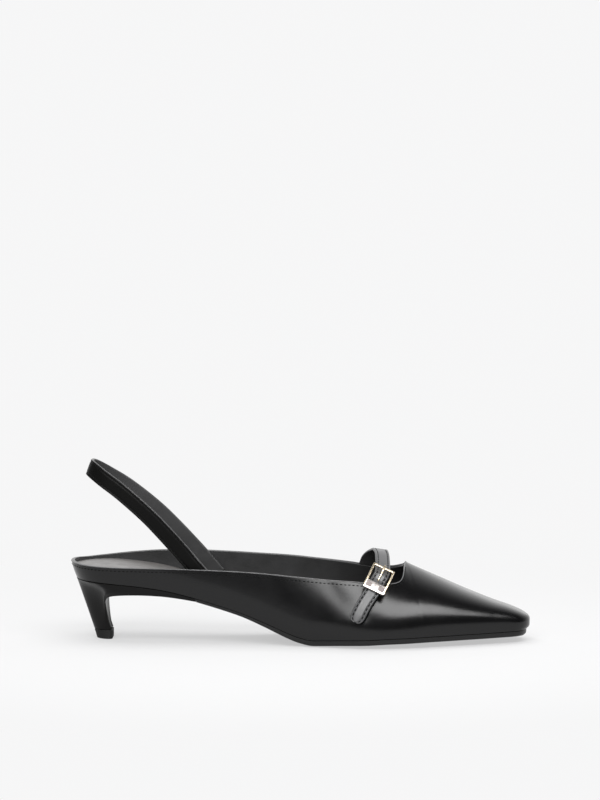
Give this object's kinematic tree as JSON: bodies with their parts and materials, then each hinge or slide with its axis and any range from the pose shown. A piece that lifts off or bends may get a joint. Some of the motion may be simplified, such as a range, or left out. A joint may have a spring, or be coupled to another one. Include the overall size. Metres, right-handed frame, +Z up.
{
  "type": "slingback pump",
  "caption": "Right women's slingback pump: hollow pointed leather upper, slim kitten heel, strap round the heel and a buckled strap over the instep.",
  "frame": {"origin": "middle of the whole shoe's plan, on the floor that it stands on", "axes": "+X from the heel to the toe, +Z up, +Y to the inner side of the foot, so the buckle faces -Y"},
  "size_m": [0.2558, 0.0774, 0.1006],
  "materials": {
    "upper_leather": "smooth polished black calf",
    "heel_leather": "smooth polished black calf over a moulded heel",
    "strap_leather": "smooth black calf with painted edges",
    "sole_leather": "black leather sole with a painted edge",
    "insole_leather": "dark matte lining leather",
    "heel_rubber": "matte black rubber",
    "buckle_gold": "polished pale gold plating"
  },
  "bodies": {
    "root": {"buckle_frame": "buckle_gold", "buckle_prong": "buckle_gold", "buckle_tab": "strap_leather", "heel_block": "heel_leather", "heel_top_piece": "heel_rubber", "insole": "insole_leather", "instep_strap": "strap_leather", "outsole": "sole_leather", "sling_strap": "strap_leather", "upper": "upper_leather"}
  },
  "joints": []
}
